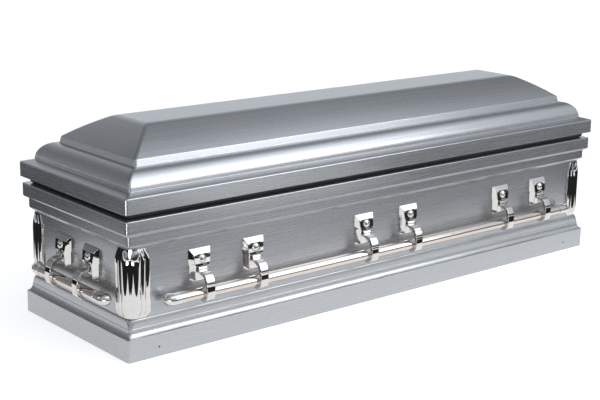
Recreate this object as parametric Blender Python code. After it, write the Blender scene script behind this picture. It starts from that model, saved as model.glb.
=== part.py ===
"""Sheet-steel funeral casket with a one-piece domed lid and four swinging bar handles.

The frame is in metres with +Z up. The origin is the middle of the underside, +X runs
along the casket and the front long side faces -Y. Every moulding is one profile swept
round a rectangle with rounded corners, so a profile point is written as its inset from
the lid's outer edge and its height above the floor.
"""

import math

import bmesh
import bpy
from mathutils import Matrix, Vector

# Overall sizes
LENGTH = 2.080
WIDTH = 0.616
SHEET = 0.0012
CORNER_RADIUS = 0.008
CORNER_STEPS = 2
GAP = 0.0003

# Base moulding, from the floor up
PLINTH_INSET = 0.0068
PLINTH_HEIGHT = 0.0700
FOOT_RETURN = 0.036
COVE_DEPTH = 0.0134
COVE_HEIGHT = 0.0255
QUIRK = 0.0010
BEAD_HEIGHT = 0.0265
SEAT_DEPTH = 0.030
SEAT_LEDGE = 0.042

# Walls of the body, and the body moulding on top of them
WALL_INSET = 0.0260
WALL_CORNER_RADIUS = 0.028
WALL_HEIGHT = 0.2145
BAND_INSET = 0.0180
BAND_RISE = 0.0105
BAND_HEIGHT = 0.0290
RIM_INSET = 0.0046
RIM_RISE = 0.0100
RIM_HEIGHT = 0.0400
RIM_ROUND = 0.0030
RIM_RETURN = 0.056
RIM_LIP = 0.014
TONGUE = 0.020

# Rubber gasket between the rim and the lid
GASKET_INSET = 0.0220
GASKET_WIDTH = 0.0280
GASKET_HEIGHT = 0.0205

# Lid, from its flange up
FLANGE_HEIGHT = 0.0485
FLANGE_ROUND = 0.0040
FLANGE_TURN = 75
FLANGE_RETURN = 0.056
LEDGE_INSET = 0.0340
LEDGE_RISE = 0.0080
OGEE_INSET = 0.0880
OGEE_HEIGHT = 0.0560
OGEE_START = 9
STEP_QUIRK = 0.0030
STEP_HEIGHT = 0.0215
SLOPE_HEIGHT = 0.0735
CROWN_INSET = 0.2180
CROWN_BULGE = 0.0070
CROWN_ROUND = 0.0300
CROWN_CORNER_RADIUS = 0.022

# Chrome corner pieces
CORNER_LEG = 0.070
CORNER_CLEARANCE = 0.0030
CORNER_EDGE_WIDTH = 0.017
CORNER_EDGE_DEPTH = 0.0060
CORNER_EDGE_BEVEL = 0.0025
CORNER_SMALL_REED = 0.0155
CORNER_SMALL_DEPTH = 0.0075
CORNER_BIG_DEPTH = 0.0095
CORNER_BIG_STEPS = 4
CORNER_VALLEY_DEPTH = 0.0050
CORNER_TOP_TAPER = 0.052
CORNER_FOOT_TAPER = 0.026
CORNER_SHOULDER = 0.014
CORNER_THIN = 0.35

# Ears, the castings on the wall that carry the handles
EAR_HEIGHT = 0.100
EAR_TOP_DROP = 0.0345
EAR_WIDTH = 0.081
EAR_CHEEK_WIDTH = 0.073
EAR_DRAFT = 0.65
EAR_DEPTH = 0.0185
EAR_HOOD_DEPTH = 0.0145
EAR_HOOD_DROP = 0.0145
EAR_HOOD_HEIGHT = 0.044
EAR_FOOT_DEPTH = 0.011
EAR_EDGE = 0.0020
EAR_BACK = 0.0025
EAR_CLEARANCE = 0.0055
ARCH_ROUND = 0.012
ARCH_CLEARANCE = 0.0045
BOSS_RADIUS = 0.0155
BOSS_PROUD = 0.0070
BOSS_SUNK = 0.0040
BOSS_DROP = 0.031

# Handle arms and their pivots
PIVOT_DROP = 0.063
PIVOT_STANDOFF = 0.0130
KNUCKLE_RADIUS = 0.0095
KNUCKLE_START = -20
KNUCKLE_END = 250
ARM_WIDTH = 0.030
ARM_THICKNESS = 0.011
SHOULDER_REACH = 0.026
SHOULDER_DROP = 0.007
HOOK_END = -110
SHOULDER_STEPS = 5
HOOK_STEPS = 6

# Bars and their tips
BAR_RADIUS = 0.0170
BAR_WALL = 0.0015
BAR_SIDES = 16
BAR_STANDOFF = 0.0370
BAR_DROP = 0.067
TIP_RADIUS = 0.0185
TIP_SIDES = 12
TIP_STRAIGHT = 0.029
TIP_BEND = math.radians(75)
TIP_BEND_STEPS = 3
TIP_DOME = 0.012
TIP_DOME_RINGS = (0.6, 0.92)
TIP_CLEARANCE = 0.0030
SPIGOT_LENGTH = 0.022

# Where the ears and bars stand along a wall, the margins measured in from the wall's ends
PAIR_SPACING = 0.203
LONG_EAR_MARGIN = 0.2465
END_EAR_MARGIN = 0.202
LONG_BAR_MARGIN = 0.161
END_BAR_MARGIN = 0.126

# Heights that follow from the stack above
BASE_TOP = PLINTH_HEIGHT + COVE_HEIGHT + QUIRK + BEAD_HEIGHT
FLOOR_BOTTOM = BASE_TOP - SEAT_DEPTH + SHEET + GAP
WALL_TOP = BASE_TOP + WALL_HEIGHT
BAND_TOP = WALL_TOP + BAND_RISE + BAND_HEIGHT
RIM_TOP = BAND_TOP + RIM_RISE + RIM_HEIGHT
FLANGE_BOTTOM = RIM_TOP + GASKET_HEIGHT
FLANGE_TOP = FLANGE_BOTTOM + FLANGE_HEIGHT
LEDGE_TOP = FLANGE_TOP + LEDGE_RISE
STEP_BOTTOM = LEDGE_TOP + OGEE_HEIGHT
STEP_TOP = STEP_BOTTOM + STEP_HEIGHT
LID_TOP = STEP_TOP + SLOPE_HEIGHT

EAR_TOP = WALL_TOP - EAR_TOP_DROP
PIVOT_HEIGHT = EAR_TOP - PIVOT_DROP


def arc(center, radii, start, end, steps):
    """Points on an elliptic arc in the profile plane, ends included, angles in degrees."""
    points = []
    for i in range(steps + 1):
        angle = math.radians(start + (end - start) * i / steps)
        points.append((center[0] + radii[0] * math.cos(angle), center[1] + radii[1] * math.sin(angle)))
    return points


def bezier(controls, steps):
    """Points on a Bezier curve through any number of control points, ends included."""
    points = []
    for i in range(steps + 1):
        t = i / steps
        row = [Vector(control) for control in controls]
        while len(row) > 1:
            row = [a.lerp(b, t) for a, b in zip(row, row[1:])]
        points.append(tuple(row[0]))
    return points


def offset_path(path, distance):
    """The path moved sideways to its left by a distance, with mitred corners."""
    points = [Vector(point) for point in path]
    directions = [(b - a).normalized() for a, b in zip(points, points[1:])]
    moved = []
    for i, point in enumerate(points):
        before = directions[max(i - 1, 0)]
        after = directions[min(i, len(directions) - 1)]
        normal_before = Vector((-before.y, before.x))
        normal_after = Vector((-after.y, after.x))
        mitre = (normal_before + normal_after).normalized()
        moved.append(tuple(point + mitre * (distance / mitre.dot(normal_after))))
    return moved


def blend(start, end, count):
    """A number of values in even steps from start to end."""
    return [start + (end - start) * i / (count - 1) for i in range(count)]


def ring(inset, height, radius=CORNER_RADIUS):
    """A horizontal rounded rectangle at an inset from the lid's outer edge."""
    half_x = LENGTH / 2 - inset - radius
    half_y = WIDTH / 2 - inset - radius
    points = []
    for quarter, (sign_x, sign_y) in enumerate(((1, 1), (-1, 1), (-1, -1), (1, -1))):
        center = (sign_x * half_x, sign_y * half_y)
        corner = arc(center, (radius, radius), 90 * quarter, 90 * quarter + 90, CORNER_STEPS)
        points += [Vector((x, y, height)) for x, y in corner]
    return points


def loft(name, loops, closed=False):
    """A closed mesh through equal loops: a tube with capped ends, or a ring if closed."""
    mesh = bmesh.new()
    rows = [[mesh.verts.new(point) for point in loop] for loop in loops]
    pairs = list(zip(rows, rows[1:]))
    if closed:
        pairs.append((rows[-1], rows[0]))
    else:
        mesh.faces.new(rows[0])
        mesh.faces.new(rows[-1])
    for row, following in pairs:
        for i in range(len(row)):
            j = (i + 1) % len(row)
            mesh.faces.new((row[i], row[j], following[j], following[i]))
    bmesh.ops.recalc_face_normals(mesh, faces=mesh.faces)
    data = bpy.data.meshes.new(name)
    mesh.to_mesh(data)
    mesh.free()
    return data


def make_material(name, color, metallic, roughness):
    """A Principled material in one colour."""
    material = bpy.data.materials.new(name)
    material.use_nodes = True
    shader = material.node_tree.nodes["Principled BSDF"]
    shader.inputs["Base Color"].default_value = (*color, 1.0)
    shader.inputs["Metallic"].default_value = metallic
    shader.inputs["Roughness"].default_value = roughness
    return material


def add_object(name, data, material, parent=None, location=(0, 0, 0), turn=0.0, smooth_angle=30):
    """Link one named piece, shaded smooth where its facets meet at less than an angle."""
    piece = bpy.data.objects.new(name, data)
    bpy.context.collection.objects.link(piece)
    if not data.materials:
        data.materials.append(material)
    data.shade_smooth()
    data.set_sharp_from_angle(angle=math.radians(smooth_angle))
    piece.parent = parent
    piece.location = location
    piece.rotation_euler = (0, 0, turn)
    return piece


def combine(target, tool, operation):
    """The mesh of target after an exact Boolean with tool. Both are used up."""
    body = bpy.data.objects.new("body", target)
    other = bpy.data.objects.new("other", tool)
    for piece in (body, other):
        bpy.context.collection.objects.link(piece)
    boolean = body.modifiers.new("combine", "BOOLEAN")
    boolean.object = other
    boolean.operation = operation
    boolean.solver = "EXACT"
    evaluated = body.evaluated_get(bpy.context.evaluated_depsgraph_get())
    result = bpy.data.meshes.new_from_object(evaluated)
    result.name = target.name
    for piece in (body, other):
        bpy.data.objects.remove(piece)
    return result


def swept_shell(name, path, thickness, radii):
    """Sheet metal that follows a profile round the casket, closed across the middle."""
    inner = offset_path(path, thickness)
    loops = [ring(-x, z, radius) for (x, z), radius in zip(path, radii)]
    loops += [ring(-x, z, radius) for (x, z), radius in zip(reversed(inner), reversed(radii))]
    return loft(name, loops)


def swept_ring(name, path, thickness, radii):
    """Sheet metal that follows a profile round the casket, open in the middle."""
    section = zip(path + offset_path(path, thickness)[::-1], radii + radii[::-1])
    return loft(name, [ring(-x, z, radius) for (x, z), radius in section], closed=True)


def base_moulding():
    """Plinth, cove and bead in one bent sheet, with a foot below and a seat for the body."""
    foot_inner = PLINTH_INSET + FOOT_RETURN
    cove_top = PLINTH_HEIGHT + COVE_HEIGHT
    bead_bottom = cove_top + QUIRK
    lip_inset = WALL_INSET - GAP - SHEET
    bead_width = lip_inset - PLINTH_INSET - COVE_DEPTH - QUIRK
    path = [(-foot_inner, 0.0), (-PLINTH_INSET, 0.0)]
    path += arc((-PLINTH_INSET, cove_top), (-COVE_DEPTH, -COVE_HEIGHT), 90, 0, 4)
    radii = [CORNER_RADIUS] * len(path)
    bead = arc((-lip_inset, bead_bottom), (bead_width, BEAD_HEIGHT), 0, 90, 4)
    path += bead
    radii += blend(CORNER_RADIUS, WALL_CORNER_RADIUS, len(bead))
    path += [(-lip_inset - SHEET, BASE_TOP), (-lip_inset - SHEET, BASE_TOP - SEAT_DEPTH + SHEET)]
    path += [(-WALL_INSET - SEAT_LEDGE, BASE_TOP - SEAT_DEPTH + SHEET)]
    radii += [WALL_CORNER_RADIUS] * 3
    return swept_ring("base_moulding", path, SHEET, radii)


def casket_body():
    """The four walls, bent from sheet with rounded corners and welded into one ring."""
    outer = WALL_CORNER_RADIUS
    inner = WALL_CORNER_RADIUS - SHEET
    corners = [(WALL_INSET, FLOOR_BOTTOM, outer), (WALL_INSET, WALL_TOP, outer)]
    corners += [(WALL_INSET + SHEET, WALL_TOP, inner), (WALL_INSET + SHEET, FLOOR_BOTTOM, inner)]
    return loft("casket_body", [ring(*corner) for corner in corners], closed=True)


def floor_pan():
    """The flat steel floor inside the walls, on the seat of the base moulding."""
    inset = WALL_INSET + SHEET + GAP
    radius = WALL_CORNER_RADIUS - SHEET - GAP
    return loft("floor_pan", [ring(inset, height, radius) for height in (FLOOR_BOTTOM, FLOOR_BOTTOM + SHEET)])


def body_moulding():
    """Band and rolled rim in one sheet, with a tongue that goes down inside the walls."""
    tongue = -WALL_INSET - SHEET - GAP
    path = [(tongue, WALL_TOP - TONGUE), (tongue, WALL_TOP + GAP), (-WALL_INSET, WALL_TOP + GAP)]
    radii = [WALL_CORNER_RADIUS] * len(path)
    path += [(-BAND_INSET, WALL_TOP + BAND_RISE)]
    path += [(-BAND_INSET, BAND_TOP), (-RIM_INSET - RIM_ROUND / 2, BAND_TOP + RIM_RISE - RIM_ROUND)]
    path += [(-RIM_INSET, BAND_TOP + RIM_RISE)]
    path += arc((-RIM_INSET - RIM_ROUND, RIM_TOP - RIM_ROUND), (RIM_ROUND, RIM_ROUND), 0, 90, 2)
    path += [(-RIM_RETURN, RIM_TOP), (-RIM_RETURN, RIM_TOP - RIM_LIP)]
    radii += [CORNER_RADIUS] * (len(path) - len(radii))
    return swept_ring("body_moulding", path, SHEET, radii)


def gasket():
    """The black rubber ring that the lid lies on."""
    low = RIM_TOP + GAP
    high = FLANGE_BOTTOM - GAP
    inner = GASKET_INSET + GASKET_WIDTH
    corners = [(GASKET_INSET, low), (GASKET_INSET, high), (inner, high), (inner, low)]
    return loft("gasket", [ring(inset, height) for inset, height in corners], closed=True)


def lid():
    """Flange, ogee, step, sloped hips and flat crown in one shell, open below."""
    path = [(-FLANGE_RETURN, FLANGE_BOTTOM), (0.0, FLANGE_BOTTOM)]
    path += arc((-FLANGE_ROUND, FLANGE_TOP - FLANGE_ROUND), (FLANGE_ROUND, FLANGE_ROUND), 0, FLANGE_TURN, 2)
    ogee_width = OGEE_INSET - LEDGE_INSET
    path += [(-LEDGE_INSET, LEDGE_TOP)]
    path += arc((-OGEE_INSET, LEDGE_TOP), (ogee_width, OGEE_HEIGHT), OGEE_START, 90, 6)
    path += [(-OGEE_INSET - STEP_QUIRK, STEP_BOTTOM), (-OGEE_INSET - STEP_QUIRK, STEP_TOP - STEP_QUIRK)]
    slope_start = Vector((-OGEE_INSET - 2 * STEP_QUIRK, STEP_TOP))
    slope_end = Vector((-CROWN_INSET, LID_TOP))
    along = (slope_end - slope_start).normalized()
    bulge = Vector((-along.y, along.x)) * -CROWN_BULGE
    hip = bezier((slope_start, (slope_start + slope_end) / 2 + bulge, slope_end), 6)
    crown_inner = (-CROWN_INSET - CROWN_ROUND, LID_TOP)
    path += hip[:-1]
    path += bezier((hip[-2], hip[-1], crown_inner), 3)[1:]
    crown_points = len(hip) + 2
    radii = [CORNER_RADIUS] * (len(path) - crown_points)
    radii += blend(CORNER_RADIUS, CROWN_CORNER_RADIUS, crown_points)
    return swept_shell("lid", path[::-1], -SHEET, radii[::-1])


def reed(start, end, depth, steps):
    """A round reed on a leg between two valleys, without its end points."""
    points = []
    for i in range(1, steps):
        share = i / steps
        proud = CORNER_VALLEY_DEPTH + (depth - CORNER_VALLEY_DEPTH) * math.sin(math.pi * share)
        points.append((start + (end - start) * share, proud))
    return points


def corner_leg():
    """One leg's face, from its end to the corner's middle: distance from it, depth proud."""
    bend_half = WALL_CORNER_RADIUS * math.pi / 4
    end = CORNER_LEG - WALL_CORNER_RADIUS + bend_half
    edge = end - CORNER_EDGE_WIDTH
    valley = edge - CORNER_SMALL_REED
    points = [(end, CORNER_EDGE_DEPTH / 2), (end - CORNER_EDGE_BEVEL, CORNER_EDGE_DEPTH)]
    points += [(edge, CORNER_VALLEY_DEPTH)]
    points += reed(edge, valley, CORNER_SMALL_DEPTH, 2)
    points += [(valley, CORNER_VALLEY_DEPTH)]
    points += reed(valley, 0.0, CORNER_BIG_DEPTH, CORNER_BIG_STEPS)
    return points + [(0.0, CORNER_VALLEY_DEPTH)]


def round_corner(distance, proud):
    """Plan position at a distance from the corner's middle, along +X and proud of the wall."""
    bend_half = WALL_CORNER_RADIUS * math.pi / 4
    if distance > bend_half:
        return Vector((WALL_CORNER_RADIUS + distance - bend_half, -proud))
    angle = math.radians(270) - (bend_half - distance) / WALL_CORNER_RADIUS
    reach = WALL_CORNER_RADIUS + proud
    center = Vector((WALL_CORNER_RADIUS, WALL_CORNER_RADIUS))
    return center + reach * Vector((math.cos(angle), math.sin(angle)))


def corner_section(height, cut_back, depth_share):
    """Level cut through a corner piece whose corner is at the origin, legs along +X and +Y."""
    right = []
    for distance, proud in corner_leg():
        if distance > CORNER_LEG / 2:
            distance -= cut_back
        right.append(round_corner(distance, GAP + (proud - GAP) * depth_share))
    end = Vector((right[0].x, -GAP))
    seat = WALL_CORNER_RADIUS + GAP
    center = (WALL_CORNER_RADIUS, WALL_CORNER_RADIUS)
    back = [Vector(point) for point in arc(center, (seat, seat), 270, 180, CORNER_STEPS)]
    left = [Vector((point.y, point.x)) for point in right]
    plan = left + right[-2::-1] + [end] + back + [Vector((end.y, end.x))]
    return [Vector((point.x, point.y, height)) for point in plan]


def corner_piece():
    """Reeded chrome angle piece, thinner at its head and its foot, with cut shoulders."""
    low = BASE_TOP + CORNER_CLEARANCE
    high = WALL_TOP - CORNER_CLEARANCE
    levels = [
        (low, CORNER_SHOULDER, CORNER_THIN),
        (low + CORNER_FOOT_TAPER / 2, 0.0, (1 + CORNER_THIN) / 2),
        (low + CORNER_FOOT_TAPER, 0.0, 1.0),
        (high - CORNER_TOP_TAPER, 0.0, 1.0),
        (high, CORNER_SHOULDER, CORNER_THIN),
    ]
    return loft("corner_piece", [corner_section(*level) for level in levels])


def ear_section(drop, depth, width):
    """Level cut through an ear at a drop below its top, narrower away from the wall."""
    face = width / 2 - EAR_DRAFT * depth
    corners = ((-width / 2, 0.0), (-face, -depth), (face, -depth), (width / 2, 0.0))
    return [Vector((x, y, -drop)) for x, y in corners]


def ear():
    """Ear casting seen from the front, its top middle on the wall at the origin, -Y out."""
    cheek_top = EAR_HOOD_HEIGHT + EAR_HOOD_DROP / 2
    sections = [
        (0.0, EAR_EDGE, EAR_WIDTH),
        (EAR_HOOD_DROP, EAR_HOOD_DEPTH, EAR_WIDTH),
        (2 * EAR_HOOD_DROP, EAR_DEPTH - EAR_EDGE, EAR_WIDTH),
        (EAR_HOOD_HEIGHT, EAR_DEPTH, EAR_WIDTH),
        (cheek_top, EAR_DEPTH, EAR_CHEEK_WIDTH),
        (EAR_HEIGHT - EAR_HOOD_DROP, EAR_DEPTH - EAR_EDGE, EAR_CHEEK_WIDTH),
        (EAR_HEIGHT, EAR_FOOT_DEPTH, EAR_CHEEK_WIDTH),
    ]
    casting = loft("ear", [ear_section(*section) for section in sections])
    boss = bmesh.new()
    bmesh.ops.create_uvsphere(boss, u_segments=10, v_segments=6, radius=BOSS_RADIUS)
    face_depth = EAR_DEPTH - EAR_EDGE
    squash = Matrix.Diagonal((1.0, 1.0, (BOSS_PROUD + BOSS_SUNK) / BOSS_RADIUS, 1.0))
    place = Matrix.Translation((0, -face_depth + BOSS_SUNK, -BOSS_DROP)) @ Matrix.Rotation(math.pi / 2, 4, "X")
    boss.transform(place @ squash)
    boss_data = bpy.data.meshes.new("boss")
    boss.to_mesh(boss_data)
    boss.free()
    casting = combine(casting, boss_data, "UNION")
    half = ARM_WIDTH / 2 + EAR_CLEARANCE
    arch_top = -PIVOT_DROP + KNUCKLE_RADIUS + ARCH_CLEARANCE
    below = -EAR_HEIGHT - EAR_DEPTH
    outline = [(-half, below)]
    for side, start in ((-1, 180), (1, 90)):
        center = (side * (half - ARCH_ROUND), arch_top - ARCH_ROUND)
        outline += arc(center, (ARCH_ROUND, ARCH_ROUND), start, start - 90, 3)
    outline += [(half, below)]
    slot = [[Vector((x, -out, z)) for x, z in outline] for out in (EAR_BACK, 2 * EAR_DEPTH)]
    return combine(casting, loft("slot", slot), "DIFFERENCE")


def arm_outline():
    """Side view of an arm about its pivot, out from the wall and up, anticlockwise."""
    seat = BAR_RADIUS + GAP
    hook = seat + ARM_THICKNESS
    bar_center = Vector((BAR_STANDOFF - PIVOT_STANDOFF, -BAR_DROP))
    knuckle = arc((0, 0), (KNUCKLE_RADIUS, KNUCKLE_RADIUS), KNUCKLE_START, KNUCKLE_END, 6)
    start = Vector(knuckle[0])
    end = bar_center + Vector((hook, 0))
    controls = (start, start + Vector((SHOULDER_REACH, 0)), (end.x, start.y - SHOULDER_DROP), end)
    front = bezier(controls, SHOULDER_STEPS)
    rear = offset_path(front, -ARM_THICKNESS)
    outline = knuckle + rear[1:-1]
    outline += arc(bar_center, (seat, seat), 0, HOOK_END, HOOK_STEPS)
    outline += arc(bar_center, (hook, hook), HOOK_END, 0, HOOK_STEPS)
    outline += front[-2:0:-1]
    return outline


def arm():
    """Swinging arm: knuckle, a strap bent over at the shoulder and a hook round the bar."""
    sides = []
    for sign in (-1, 1):
        sides.append([Vector((sign * ARM_WIDTH / 2, -out, up)) for out, up in arm_outline()])
    return loft("arm", sides)


def circle(center, radius, sides, heading=0.0):
    """A loop of points round a bar whose axis is level, turned from +X about Z by a heading."""
    turn = Matrix.Rotation(heading, 3, "Z")
    points = []
    for i in range(sides):
        angle = 2 * math.pi * (i + 0.5) / sides
        points.append(center + turn @ Vector((0, radius * math.cos(angle), radius * math.sin(angle))))
    return points


def bar(half):
    """A straight tube of a half length, its middle at the origin."""
    ends = Vector((half, 0, 0))
    inner = BAR_RADIUS - BAR_WALL
    loops = [circle(-ends, BAR_RADIUS, BAR_SIDES), circle(ends, BAR_RADIUS, BAR_SIDES)]
    loops += [circle(ends, inner, BAR_SIDES), circle(-ends, inner, BAR_SIDES)]
    return loft("bar", loops, closed=True)


def tip(side):
    """Bent end cap, its seam at the origin, bent as far as the corner pieces leave room for."""
    spigot = BAR_RADIUS - BAR_WALL - GAP
    loops = [circle(Vector((-SPIGOT_LENGTH, 0, 0)), spigot, TIP_SIDES), circle(Vector(), spigot, TIP_SIDES)]
    loops.append(circle(Vector(), TIP_RADIUS, TIP_SIDES))
    reach = math.hypot(TIP_DOME * math.sin(TIP_BEND), TIP_RADIUS * math.cos(TIP_BEND))
    swing = BAR_STANDOFF - CORNER_BIG_DEPTH - TIP_CLEARANCE - reach
    bend = swing / (1 - math.cos(TIP_BEND))
    heading = 0.0
    for i in range(TIP_BEND_STEPS + 1):
        heading = TIP_BEND * i / TIP_BEND_STEPS
        center = Vector((TIP_STRAIGHT + bend * math.sin(heading), bend * (1 - math.cos(heading)), 0))
        loops.append(circle(center, TIP_RADIUS, TIP_SIDES, heading))
    forward = Vector((math.cos(heading), math.sin(heading), 0))
    for share in TIP_DOME_RINGS:
        radius = TIP_RADIUS * math.sqrt(1 - share * share)
        loops.append(circle(center + forward * TIP_DOME * share, radius, TIP_SIDES, heading))
    if side < 0:
        loops = [[Vector((-point.x, point.y, point.z)) for point in loop] for loop in loops]
    return loft("tip", loops)


def build_side(name, turn, wall, places, bar_half, kit):
    """One wall's ears, and its handle parented to an empty on the handle's hinge axis."""
    spin = Matrix.Rotation(turn, 3, "Z")
    hinge = bpy.data.objects.new(name + "_hinge", None)
    bpy.context.collection.objects.link(hinge)
    hinge.location = spin @ Vector((0, -wall - PIVOT_STANDOFF, PIVOT_HEIGHT))
    hinge.rotation_euler = (0, 0, turn)
    for number, place in enumerate(places, 1):
        seat = spin @ Vector((place, -wall - GAP, EAR_TOP))
        add_object(f"{name}_ear_{number}", kit["ear"], kit["chrome"], location=seat, turn=turn)
        add_object(f"{name}_arm_{number}", kit["arm"], kit["chrome"], hinge, (place, 0, 0))
    axis = Vector((0, PIVOT_STANDOFF - BAR_STANDOFF, -BAR_DROP))
    add_object(f"{name}_bar", bar(bar_half), kit["nickel"], hinge, axis)
    for side, end in ((-1, "left"), (1, "right")):
        seam = axis + Vector((side * (bar_half + GAP), 0, 0))
        add_object(f"{name}_tip_{end}", kit["tips"][side], kit["chrome"], hinge, seam, smooth_angle=50)


def main():
    for old in list(bpy.data.objects):
        bpy.data.objects.remove(old)
    steel = make_material("brushed_steel", (0.62, 0.64, 0.67), 1.0, 0.34)
    chrome = make_material("chrome", (0.80, 0.80, 0.79), 1.0, 0.06)
    nickel = make_material("nickel", (0.78, 0.74, 0.69), 1.0, 0.10)
    rubber = make_material("rubber", (0.015, 0.015, 0.016), 0.0, 0.60)
    add_object("base_moulding", base_moulding(), steel)
    add_object("casket_body", casket_body(), steel)
    add_object("floor_pan", floor_pan(), steel)
    add_object("body_moulding", body_moulding(), steel)
    add_object("gasket", gasket(), rubber)
    add_object("lid", lid(), steel)
    half_x = LENGTH / 2 - WALL_INSET
    half_y = WIDTH / 2 - WALL_INSET
    corner = corner_piece()
    corners = (("front_left", -1, -1), ("front_right", 1, -1), ("back_right", 1, 1), ("back_left", -1, 1))
    for quarter, (name, sign_x, sign_y) in enumerate(corners):
        place = (sign_x * half_x, sign_y * half_y, 0)
        add_object("corner_" + name, corner, chrome, location=place, turn=math.pi / 2 * quarter)
    kit = {"ear": ear(), "arm": arm(), "tips": {-1: tip(-1), 1: tip(1)}, "chrome": chrome, "nickel": nickel}
    middle_ear = PAIR_SPACING / 2
    outer_ear = half_x - LONG_EAR_MARGIN
    right_places = [middle_ear, outer_ear - PAIR_SPACING, outer_ear]
    long_places = [-place for place in reversed(right_places)] + right_places
    end_places = [END_EAR_MARGIN - half_y, half_y - END_EAR_MARGIN]
    long_bar = half_x - LONG_BAR_MARGIN
    end_bar = half_y - END_BAR_MARGIN
    build_side("front", 0.0, half_y, long_places, long_bar, kit)
    build_side("right", math.pi / 2, half_x, end_places, end_bar, kit)
    build_side("back", math.pi, half_y, long_places, long_bar, kit)
    build_side("left", -math.pi / 2, half_x, end_places, end_bar, kit)


main()
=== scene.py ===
"""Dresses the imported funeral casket: brushed steel mouldings, reeded chrome corner pieces,
chrome ears and swinging arms, nickel bars, and a plain pale studio with its camera.

Lengths are in metres in the model's own frame, with +Z up and the front long side facing
-Y. Every moulding is one profile swept round the casket, and a profile point is written as
(minus its inset from the lid's edge, its height, the corner radius there).
"""

import math

import bmesh
import bpy
from bpy.props import FloatProperty, FloatVectorProperty, IntProperty, PointerProperty
from mathutils import Matrix, Vector


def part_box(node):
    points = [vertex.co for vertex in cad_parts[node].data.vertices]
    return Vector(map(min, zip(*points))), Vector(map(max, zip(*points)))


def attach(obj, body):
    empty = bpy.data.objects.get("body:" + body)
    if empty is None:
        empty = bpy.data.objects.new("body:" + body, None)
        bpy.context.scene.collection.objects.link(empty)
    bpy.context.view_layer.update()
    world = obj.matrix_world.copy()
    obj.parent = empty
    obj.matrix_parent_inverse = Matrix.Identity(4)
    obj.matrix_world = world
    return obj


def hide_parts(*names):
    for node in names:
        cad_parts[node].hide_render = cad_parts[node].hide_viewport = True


bl_info = {
    "name": "Steel Funeral Casket",
    "version": (1, 0, 0),
    "blender": (4, 5, 0),
    "location": "3D View > Sidebar > Casket",
    "description": "Builds the visible pieces of a sheet-steel casket round its packed frame",
    "category": "Object",
}

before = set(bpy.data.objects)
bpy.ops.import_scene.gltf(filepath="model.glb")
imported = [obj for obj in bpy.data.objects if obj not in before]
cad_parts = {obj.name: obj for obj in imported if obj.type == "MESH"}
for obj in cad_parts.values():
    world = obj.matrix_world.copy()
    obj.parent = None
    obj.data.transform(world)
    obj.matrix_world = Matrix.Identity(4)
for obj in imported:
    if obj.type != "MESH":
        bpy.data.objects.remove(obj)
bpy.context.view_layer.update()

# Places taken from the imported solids
LID_LOW, LID_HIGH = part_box("lid")
WALL_LOW, WALL_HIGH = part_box("casket_body")
RIM_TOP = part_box("body_moulding")[1].z
BASE_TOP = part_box("base_moulding")[1].z
HALF_LENGTH = LID_HIGH.x
HALF_WIDTH = LID_HIGH.y
GAP = 0.0003  # between pieces that lie on each other
SHEET = 0.0012  # thickness of the sheet steel
FOLD_ANGLE = math.radians(20)  # a profile's bends sharper than this get a fold
FOLD_SHARE = 0.35  # the most of a flat that a fold takes up
FOLD_FLAT = 1.3  # from a corner to the short flat beside its fold, in folds
CORNER_FLAT = 0.15  # width of the short flats beside a corner, in corner radii
CREASE = math.radians(32)  # edges sharper than this stay sharp or are bevelled
SIDES = ("right", "back", "left", "front")
SIDE_RUNS = (Vector((0, 1, 0)), Vector((-1, 0, 0)), Vector((0, -1, 0)), Vector((1, 0, 0)))
SIDE_TURNS = {"front": 0.0, "right": math.pi / 2, "back": math.pi, "left": -math.pi / 2}
UV_STEP = 7.3  # sets the sides' brushing apart in the UV map
ROUND_PLUG = (0, 345, 23)  # first and last degree and steps of a loop round a plug

# Soft boxes: name, width and height, place, the point that it looks at, watts
SOFT_BOXES = (
    ("overhead_box", (6.4, 2.2), (0.6, -2.9, 3.4), (0.6, -2.9, 0), 50),
    ("left_box", (2.0, 2.4), (-4.6, 1.2, 2.0), (0, 0, 0.4), 12),
    ("front_box", (3.2, 1.6), (3.0, -5.0, 2.4), (0, 0, 0.3), 60),
)
# Corners of a bright card: degrees from the long side, metres out from the casket's corner
CARD_CORNERS = ((22, 1.22), (58, 1.22), (58, 3.4), (22, 3.4))
# Room light, each stop a place and a level. BOX and BACK go by the direction's turn about the
# casket's length: 0 is level in front, 0.5 straight up, 1 level behind. The other two go by
# how far it points to the left, 0, or to the right, 1.
BOX = ((0.0, 0.02), (0.03, 0.10), (0.06, 0.95), (0.42, 0.95), (0.50, 0.50), (0.57, 0.10), (1.0, 0.0))
BOX_ALONG = (
    (0.0, 0.20), (0.40, 0.30), (0.68, 0.50), (0.775, 0.68), (0.815, 1.0), (0.86, 0.40), (0.92, 0.20))
BACK = ((0.0, 0.0), (0.50, 0.03), (0.62, 0.06), (0.78, 0.10), (0.86, 0.28), (0.90, 0.38), (1.0, 0.46))
BACK_ALONG = ((0.0, 0.25), (0.35, 0.35), (0.60, 1.0), (1.0, 0.85))


def number(name, default, description, **limits):
    """A number that the user can change."""
    return FloatProperty(name=name, description=description, default=default, **limits)


def length(name, default, description):
    """A length in metres."""
    return number(name, default, description, min=0.0, unit="LENGTH", precision=4)


def share(name, default, description):
    """A plain number from 0 to 1."""
    return number(name, default, description, min=0.0, max=1.0, subtype="FACTOR")


def degrees(name, default, description):
    """An angle, given in degrees."""
    return number(name, math.radians(default), description, subtype="ANGLE")


def colour(name, default, description):
    """A colour in scene linear values."""
    return FloatVectorProperty(
        name=name, description=description, default=default, size=3, min=0, max=1, subtype="COLOR")


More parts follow.
